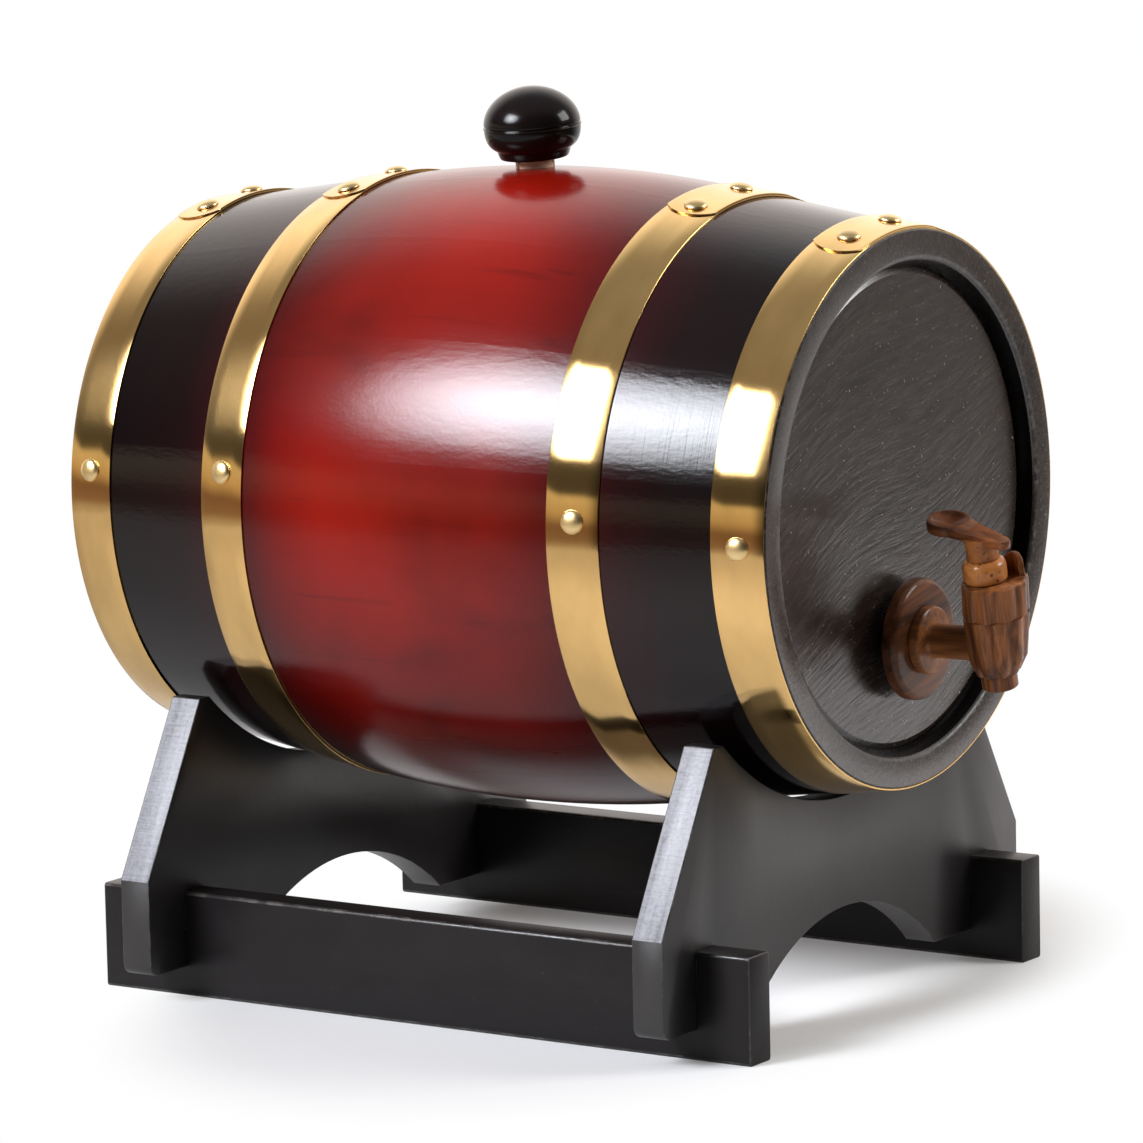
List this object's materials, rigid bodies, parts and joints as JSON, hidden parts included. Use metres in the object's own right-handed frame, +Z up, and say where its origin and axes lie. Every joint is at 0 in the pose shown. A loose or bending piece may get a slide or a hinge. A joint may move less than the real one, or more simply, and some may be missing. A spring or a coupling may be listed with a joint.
{
  "type": "oak cask liquor dispenser",
  "caption": "Small lacquered oak cask with brass hoops, a wooden tap in its front head and a corked bung on top, lying in the saddles of a black wooden cradle.",
  "frame": {"origin": "on the table, under the middle of the whole object's bounding box", "axes": "+Z is up; the cask's axis runs along Y and the tap's side is -Y; +X is to the right seen from the tap's side"},
  "size_m": [0.2692, 0.3788, 0.3583],
  "materials": {
    "stave": "high-gloss red lacquer over oak, shading through maroon to black towards the hoops and ends",
    "head": "satin black stain over open-grained oak",
    "hoop": "polished strip with fine lengthwise brushing",
    "fastener": "polished domed heads, slightly tarnished round the edge",
    "knob": "gloss black lacquer, turned",
    "bung_cork": "pinkish natural cork, matt",
    "flange": "walnut-brown turned wood with dark streaks, satin",
    "tap": "walnut-brown turned and fluted wood, satin",
    "key": "walnut-brown turned wood, satin",
    "key_cork": "amber cork with dark specks, slightly polished",
    "cradle": "satin black paint, end grain worn paler"
  },
  "bodies": {
    "cradle": {"left_rail": "cradle", "right_rail": "cradle", "front_board": "cradle", "back_board": "cradle"},
    "cask": {"stave_01": "stave", "stave_02": "stave", "stave_03": "stave", "stave_04": "stave", "stave_05": "stave", "stave_06": "stave", "stave_07": "stave", "stave_08": "stave", "stave_09": "stave", "stave_10": "stave", "stave_11": "stave", "stave_12": "stave", "stave_13": "stave", "stave_14": "stave", "stave_15": "stave", "stave_16": "stave", "front_head": "head", "back_head": "head", "hoop_front_chime": "hoop", "hoop_front_quarter": "hoop", "hoop_back_quarter": "hoop", "hoop_back_chime": "hoop", "rivets_front_chime": "fastener", "rivets_front_quarter": "fastener", "rivets_back_quarter": "fastener", "rivets_back_chime": "fastener", "nails_front_chime": "fastener", "nails_front_quarter": "fastener", "nails_back_quarter": "fastener", "nails_back_chime": "fastener", "tap_flange": "flange", "tap_shank": "tap", "tap_body": "tap"},
    "bung": {"bung_knob": "knob", "bung_cork": "bung_cork"},
    "key": {"key_lever": "key", "key_cork": "key_cork"}
  },
  "joints": [
    {"name": "cask_lift", "type": "slide", "parent": "cradle", "child": "cask", "axis": [0, 0, 1], "range_m": [0, 0.16]},
    {"name": "bung_lift", "type": "slide", "parent": "cask", "child": "bung", "axis": [-0.0784, 0.0167, 0.9968], "range_m": [0, 0.05]},
    {"name": "key_turn", "type": "hinge", "parent": "cask", "child": "key", "pos_m": [0, -0.17245, 0.1484], "axis": [-0.2334, 0, 0.9724], "continuous": true}
  ]
}
